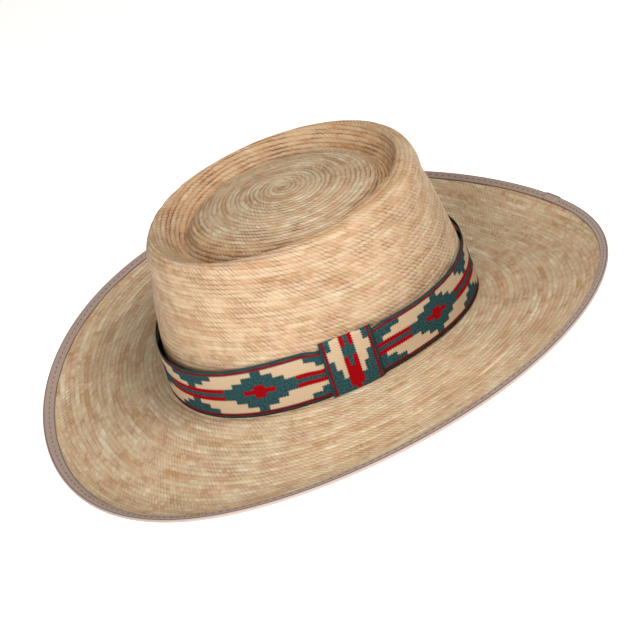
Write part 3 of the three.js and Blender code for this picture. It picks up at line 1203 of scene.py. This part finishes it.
@dataclass
class PalmBody:
    """Crown and brim in one spiral of palm braid that starts in the middle of the top."""

    form: HatForm
    finish: Material
    pitch: float = 2.95
    outer_lines: int = 3
    under_lines: int = 2
    columns: int = 180
    wall: float = 1.4
    relief: float = 0.36
    relief_level: float = 0.6
    waviness: float = 0.9
    wave_size: float = 22.0
    strand: float = 2.95
    rows_alike: int = 5
    fewest_strands: int = 6
    least_gap: float = 0.35
    edge_place: Pair = (0.0, 0.5)

    def strand_counts(self, lines: Meridians) -> list[int]:
        """Counts the strands in each row, the same for a few rows so that their slants line up.

        Args:
            lines: The meridians.

        Returns:
            The number of strands in each row.
        """
        rows = int(lines.run[-1].max() / self.pitch) + 2
        counts = []
        for block in range(0, rows, self.rows_alike):
            run = self.pitch * (block + self.rows_alike / 2)
            ring = np.stack([
                lines.at(column, np.array([run]), lines.points)[0] for column in range(self.columns)
            ])
            length = np.linalg.norm(np.diff(ring, axis=0, append=ring[:1]), axis=-1).sum()
            counts += [max(self.fewest_strands, round(length / self.strand))] * self.rows_alike
        return counts

    def add_side(
        self, maker: MeshMaker, lines: Meridians, points: Array, per_row: int, outside: bool,
        counts: list[int],
    ) -> tuple[list[int], list[float]]:
        """Adds one face of the palm wall, with grid lines that follow the spiral of the braid.

        Args:
            maker: The mesh.
            lines: The meridians, which say where the rows lie.
            points: The face's points along the meridians.
            per_row: Grid lines in each row of braid.
            outside: Whether this is the outer face.
            counts: The strands in each row.

        Returns:
            The numbers of the edge's points, and the row that each vertex lies in.
        """
        gap = self.pitch / per_row
        starts = np.concatenate([[0], np.cumsum(counts)])
        grid: list[list[int]] = []
        edge: list[int] = []
        rows: list[float] = []
        for column in range(self.columns):
            turn = column / self.columns
            end = lines.run[-1, column]
            count = int((end - self.pitch * turn) / gap - self.least_gap) + 1
            run = np.append(self.pitch * turn + gap * np.arange(count), end)
            first = maker.add_points(lines.at(column, run, points))
            grid.append(list(range(first, first + count)))
            edge.append(first + count)
            rows += [line / per_row for line in range(count)] + [end / self.pitch - turn]
        grid.append(grid[0][per_row:])
        edge_row = [lines.run[-1, column % self.columns] / self.pitch for column in range(self.columns + 1)]

        def put(corners: list[tuple[int, int, float]], row: int) -> None:
            """Adds a face of one row.

            Args:
                corners: A vertex, a column and a place out from the middle for each corner.
                row: The row's number.
            """
            ordered = corners if outside else corners[::-1]
            maker.add_face([vertex for vertex, _, _ in ordered], [
                (float(starts[row] + counts[row] * column / self.columns), max(place, row))
                for _, column, place in ordered
            ])

        for column in range(self.columns):
            left, right = grid[column], grid[column + 1]
            last = min(len(left), len(right)) - 1
            for line in range(last):
                low, high = line / per_row, (line + 1) / per_row
                put([(left[line], column, low), (left[line + 1], column, high),
                     (right[line + 1], column + 1, high), (right[line], column + 1, low)], line // per_row)
            turn = column / self.columns
            corners = [(left[number], column, number / per_row) for number in range(last, len(left))]
            corners.append((edge[column], column, edge_row[column] - turn))
            corners.append((edge[(column + 1) % self.columns], column + 1,
                            edge_row[column + 1] - turn - 1 / self.columns))
            corners += [(right[number], column + 1, number / per_row)
                        for number in range(len(right) - 1, last - 1, -1)]
            put(corners, last // per_row)
            if 0 < column < self.columns - 1:
                put([(grid[0][0], column, 0.0), (left[0], column, 0.0), (right[0], column + 1, 0.0)], 0)
        closing = [(grid[0][0], self.columns, 0.0), (grid[-2][0], self.columns - 1, 0.0)]
        closing += [(grid[0][number], self.columns, 0.0) for number in range(per_row, 0, -1)]
        put(closing, 0)
        return edge, rows

    def build(self) -> Piece:
        """Makes the palm body and returns it."""
        angle = math.pi + TURN * np.arange(self.columns) / self.columns
        lines = self.form.meridians(angle)
        counts = self.strand_counts(lines)
        maker = MeshMaker("palm_braid")
        under = lines.points - self.wall * lines.normals()
        top_edge, top_rows = self.add_side(maker, lines, lines.points, self.outer_lines, True, counts)
        low_edge, low_rows = self.add_side(maker, lines, under, self.under_lines, False, counts)
        for column in range(self.columns):
            beside = (column + 1) % self.columns
            corners = [top_edge[beside], top_edge[column], low_edge[column], low_edge[beside]]
            maker.add_face(corners, [self.edge_place] * len(corners))
        made = maker.make()
        rows = made.data.attributes.new("row", "FLOAT", "POINT")
        rows.data.foreach_set("value", np.array(top_rows + low_rows, dtype=np.float32))
        run_tree(made, row_relief_tree(), {
            "Relief": self.relief * MM, "Level": self.relief_level, "Waviness": self.waviness * MM,
            "Wave size": self.wave_size, "Material": self.finish,
        })
        dress(made, "palm_body", self.finish)
        return made


@dataclass
class Hatband:
    """The patterned ribbon round the foot of the crown, whose ends meet under the keeper."""

    form: HatForm
    finish: Material
    thickness: float = 0.5
    face_out: float = 1.0
    columns: int = 300
    lines: int = 9
    start_angle: float = math.radians(-22.5)
    diamond_before: float = 53.5
    diamond_after: float = 64.0
    diamond_middle: float = 3.5
    true_length: float = 130.0
    period: int = len(Chart.BAND.value)
    pinch: float = 2.0
    pinch_reach: float = 6.0
    keeper_half: float = 16.0

    def arc(self, angle: Array) -> Array:
        """Returns the length of ribbon from the keeper to each angle."""
        return run_along(self.form.band_points(np.array(self.form.band_height / 2), self.face_out, angle))

    def pattern_places(self, arc: Array) -> Array:
        """Lays the chart along the ribbon so that both ends show what they show beside the keeper.

        Args:
            arc: Lengths from the keeper, the last one being the whole ribbon.

        Returns:
            Columns of the chart.
        """
        whole, near = arc[-1], self.true_length
        first = (np.array([0, near]) - self.diamond_after) / RIBBON_COLUMN + self.diamond_middle
        last = (np.array([-near, 0]) + self.diamond_before) / RIBBON_COLUMN + self.diamond_middle
        natural = first[1] + (whole - 2 * near) / RIBBON_COLUMN
        last = last + round((natural - last[0]) / self.period) * self.period
        return np.interp(arc, [0, near, whole - near, whole], [*first, *last])

    def build(self) -> Piece:
        """Makes the hatband and returns it."""
        angle = self.start_angle + TURN * np.arange(self.columns + 1) / self.columns
        arc = self.arc(angle)
        from_keeper = np.minimum(arc, arc[-1] - arc)[:-1]
        beyond = np.maximum(from_keeper - self.keeper_half, 0)
        squeeze = self.pinch * np.exp(-(beyond / self.pinch_reach) ** 2)
        shares = np.linspace(0, 1, self.lines)
        section = [(share, self.face_out - self.thickness) for share in shares]
        section += [(share, self.face_out) for share in shares[::-1]]
        rings = [
            self.form.band_points(share * (self.form.band_height - squeeze), out, angle[:-1])
            for share, out in section
        ]
        maker = MeshMaker("hatband_ribbon")
        maker.add_tube(rings, [share for share, _ in section], self.pattern_places(arc), closed=True)
        made = maker.make()
        dress(made, "hatband", self.finish)
        return made


@dataclass
class BandKeeper:
    """The short upright wrap of ribbon that covers the band's ends.

    A place on its path is a height over the band's lower edge and a distance out from its inner face.
    """

    form: HatForm
    finish: Material
    middle: float = math.radians(-21.6)
    half_angle: float = math.radians(9.05)
    thickness: float = 0.5
    columns: int = 17
    front_out: float = 1.75
    front_points: int = 9
    front_margin: float = 0.03
    front_swell: float = 0.25
    fold: float = 1.3
    fold_steps: tuple[int, ...] = (0, 30, 60, 90)
    lower_fold: float = 1.3 / 1.6
    lower_drop: float = 0.3
    upper_rise: float = 0.2
    lower_tail: Pair = (-0.9, -0.1)
    upper_tail: tuple[Pair, ...] = ((1.0, -0.3), (-4.0, -0.6))
    rising_points: int = 14
    chart_start: float = -4.4

    def path(self) -> list[Pair]:
        """Returns the outer line of the wrap as heights and distances out, from behind the lower edge."""
        top, front = self.form.band_height, self.front_out
        fold = [(math.sin(turn), front - self.fold * (1 - math.cos(turn)))
                for turn in map(math.radians, self.fold_steps)]
        path = [self.lower_tail]
        path += [(-self.lower_drop - self.lower_fold * reach, out) for reach, out in fold[-2::-1]]
        path += [(top * share, front + self.front_swell * math.sin(math.pi * share))
                 for share in np.linspace(self.front_margin, 1 - self.front_margin, self.front_points)]
        path += [(top + self.upper_rise + self.fold * reach, out) for reach, out in fold]
        path += [(top + over, out) for over, out in self.upper_tail]
        return path

    def build(self) -> Piece:
        """Makes the keeper and returns it."""
        line = np.array(self.path())
        direction = unit(np.gradient(line, axis=0))
        inner = line + self.thickness * np.stack([direction[:, 1], -direction[:, 0]], axis=-1)
        angle = self.middle + self.half_angle * np.linspace(-1, 1, self.columns)
        length = run_along(line)
        start = np.interp(0.0, line[:self.rising_points, 0], length[:self.rising_points])
        columns = (length - start - self.chart_start) / RIBBON_COLUMN
        rings = [self.form.band_points(np.array(up), out, angle) for up, out in [*inner, *line[::-1]]]
        places = np.concatenate([columns, columns[::-1]])
        maker = MeshMaker("keeper_ribbon")
        maker.add_tube(rings, list(places), np.linspace(0, 1, self.columns), closed=False)
        maker.places = [(column, share) for share, column in maker.places]
        made = maker.make()
        dress(made, "band_keeper", self.finish)
        return made


@dataclass
class EdgeBinding:
    """The ribbed ribbon folded over the brim's edge, with its lap and its stitches."""

    form: HatForm
    finish: Material
    thread: Material
    width: float = 5.4
    width_swing: float = 0.95
    widest_at: float = math.radians(225)
    thickness: float = 0.45
    palm_wall: float = 1.4
    lift: float = 0.12
    fold_allowance: float = 1.5
    fold_steps: tuple[int, ...] = (30, 60, 90, 120, 150)
    columns: int = 360
    flat_shares: tuple[float, ...] = (0.4, 0.6, 0.8, 1.0)
    lap_angle: float = math.radians(84.7)
    lap_length: float = 13.0
    lap_columns: int = 9
    lap_gap: float = 0.05
    stitch_place: float = 0.52
    stitch_spacing: float = 4.6
    stitch_length: float = 2.2
    stitch_thickness: float = 0.6
    stitch_lean: float = 0.25
    upper_seed: int = 3
    under_seed: int = 5

    def reach(self, side: int, angle: Array) -> Array:
        """Returns how far the ribbon reaches in, on the upper side (1) or the underside (-1)."""
        return self.width + side * self.width_swing * np.cos(angle - self.widest_at)

    def section(self, extra: float, angle: Array) -> list[tuple[Array, float, float]]:
        """Returns the outer line of the fold, from the upper edge round to the lower one.

        Args:
            extra: How far it lies outside the binding's own outer line.
            angle: Angles round the hat.

        Returns:
            Distances inwards, heights over the palm's upper face, and places across the ribbon.
        """
        high = self.lift + self.thickness + extra
        low = -self.palm_wall - self.lift - self.thickness - extra
        radius = (high - low) / 2
        above, below = self.reach(1, angle), self.reach(-1, angle)
        line = [(above * share, high, self.width * (1 - share)) for share in self.flat_shares[::-1]]
        line.append((radius, high, self.width - radius))
        for turn in np.radians(self.fold_steps):
            line.append((radius - (radius + extra) * math.sin(turn), low + radius + radius * math.cos(turn),
                         self.width + float(turn)))
        line.append((radius, low, self.width + math.pi))
        line += [(below * share, low, self.width * (1 + share)) for share in self.flat_shares]
        return line

    def ribbon(self, name: str, outer: float, angle: Array, closed: bool) -> Piece:
        """Makes a length of folded ribbon.

        Args:
            name: The piece's name.
            outer: How far its outer face lies outside the binding's.
            angle: The columns' angles, with the first repeated at the end when closed.
            closed: Whether it goes all the way round.

        Returns:
            The piece.
        """
        used = angle[:-1] if closed else angle
        outline = self.section(outer, used) + self.section(outer - self.thickness, used)[::-1]
        rings = [self.form.edge_points(inward, up, used) for inward, up, _ in outline]
        maker = MeshMaker(name)
        maker.add_tube(rings, [place for _, _, place in outline],
                       run_along(self.form.edge_points(0.0, 0.0, angle)), closed)
        return maker.make()

    def stitches(self, name: str, up: float, facing: int, seed: int) -> Piece:
        """Lays one row of stitches round the binding.

        Args:
            name: The piece's name.
            up: The row's height over the palm's upper face.
            facing: 1 for the upper side and -1 for the underside.
            seed: The seed of the unevenness.

        Returns:
            The piece.
        """
        angle = TURN * np.arange(self.columns) / self.columns
        inward = self.stitch_place * self.reach(facing, angle)
        line = self.form.edge_points(inward, up, angle)
        outward = facing * unit(self.form.edge_points(inward, 1.0, angle)
                                - self.form.edge_points(inward, 0.0, angle))
        mesh = bpy.data.meshes.new(name)
        mesh.from_pydata(line * MM, [(i, (i + 1) % self.columns) for i in range(self.columns)], [])
        directions = mesh.attributes.new("up", "FLOAT_VECTOR", "POINT")
        directions.data.foreach_set("vector", outward.astype(np.float32).ravel())
        made = add_object(name, mesh)
        run_tree(made, bpy.data.node_groups.get(STITCH_ROW) or stitch_tree(), {
            "Spacing": self.stitch_spacing * MM, "Length": self.stitch_length * MM,
            "Thickness": self.stitch_thickness * MM, "Unevenness": self.stitch_lean, "Seed": seed,
            "Material": self.thread,
        })
        return made

    def build(self) -> list[Piece]:
        """Makes the binding, its lap and both rows of stitches, and returns them."""
        angle = self.lap_angle + TURN * np.arange(self.columns + 1) / self.columns
        binding = self.ribbon("edge_binding_ribbon", 0.0, angle, closed=True)
        reach = self.lap_length / self.form.edge.half_width
        lap_angle = self.lap_angle + np.linspace(-reach, 0, self.lap_columns)
        lap = self.ribbon("edge_binding_lap", self.thickness + self.lap_gap, lap_angle, closed=False)
        top = self.lift + self.thickness
        upper = self.stitches("binding_stitches_upper", top, 1, self.upper_seed)
        under = self.stitches("binding_stitches_under", -self.palm_wall - top, -1, self.under_seed)
        for piece, material in ((binding, self.finish), (lap, self.finish), (upper, self.thread),
                                (under, self.thread)):
            dress(piece, "edge_binding", material)
        length = float(run_along(self.form.edge_points(0.0, 0.0, angle))[-1])
        return [binding, lap, upper, under]


# Studio

@dataclass(frozen=True)
class SoftLight:
    """A square light that looks at the hat: degrees round from +X, degrees up, watts and metres."""

    name: str
    azimuth: float
    elevation: float
    power: float
    distance: float = 1.0
    size: float = 0.45

    def make(self) -> None:
        """Makes the light."""
        data = bpy.data.lights.new(self.name, "AREA")
        data.shape, data.size, data.energy = "SQUARE", self.size, self.power
        light = add_object(self.name, data)
        side, height = math.radians(self.azimuth), math.radians(self.elevation)
        flat = math.cos(height)
        direction = Vector((math.cos(side) * flat, math.sin(side) * flat, math.sin(height)))
        light.location = direction * self.distance
        light.rotation_mode = "QUATERNION"
        light.rotation_quaternion = direction.to_track_quat("Z", "Y")


@dataclass(frozen=True)
class Studio:
    """A pale floor, soft lights and the camera of the photograph."""

    azimuth: float = 59.499
    elevation: float = 30.93
    roll: float = -17.738
    distance: float = 984.75
    aim: Triple = (0.04, -1.79, 20.31)
    lens: float = 90.34
    sensor: float = 36.0
    floor_radius: float = 40.0
    floor_sides: int = 64
    floor_gap: float = 0.2
    lights: tuple[SoftLight, ...] = (SoftLight("key", -50.0, 25.0, 6.05), SoftLight("top", 20.0, 60.0, 6.2))
    room_light: float = 0.09

    def camera(self) -> None:
        """Makes the camera."""
        side, height, roll = (math.radians(x) for x in (self.azimuth, self.elevation, self.roll))
        flat = math.cos(height)
        back = Vector((math.sin(side) * flat, -math.cos(side) * flat, math.sin(height)))
        right = Vector((math.cos(side), math.sin(side), 0))
        up = back.cross(right)
        turned_right = math.cos(roll) * right + math.sin(roll) * up
        turned_up = math.cos(roll) * up - math.sin(roll) * right
        data = bpy.data.cameras.new("camera")
        data.lens, data.sensor_width = self.lens, self.sensor
        camera = add_object("camera", data)
        turn = Matrix((turned_right, turned_up, back)).transposed()
        place = Matrix.Translation((Vector(self.aim) + self.distance * back) * MM)
        camera.matrix_world = place @ turn.to_4x4()
        bpy.context.scene.camera = camera

    def floor(self) -> None:
        """Makes the floor."""
        mesh = bpy.data.meshes.new("floor")
        angles = [TURN * i / self.floor_sides for i in range(self.floor_sides)]
        mesh.from_pydata([
            (self.floor_radius * math.cos(angle), self.floor_radius * math.sin(angle), -self.floor_gap * MM)
            for angle in angles
        ], [], [list(range(self.floor_sides))])
        mesh.materials.append(StudioFloor().material())
        add_object("floor", mesh)

    def build(self) -> None:
        """Makes the whole studio."""
        self.camera()
        self.floor()
        for light in self.lights:
            light.make()
        world = bpy.data.worlds.new("soft room")
        world.use_nodes = True
        sky = world.node_tree.nodes["Background"]
        sky.inputs["Color"].default_value = (1.0, 1.0, 1.0, 1.0)
        sky.inputs["Strength"].default_value = self.room_light
        bpy.context.scene.world = world
        bpy.context.scene.view_settings.view_transform = "Standard"


def main() -> None:
    """Builds the studio and the hat, piece by piece."""
    logging.basicConfig(level=logging.INFO, format="%(name)s: %(message)s")
    Studio().build()
    form = HatForm()
    PalmBody(form, PalmStraw().material()).build()
    Hatband(form, PatternedRibbon(Chart.BAND).material()).build()
    BandKeeper(form, PatternedRibbon(Chart.KEEPER).material()).build()
    EdgeBinding(form, BindingRibbon().material(), Thread().material()).build()


if __name__ == "__main__":
    main()
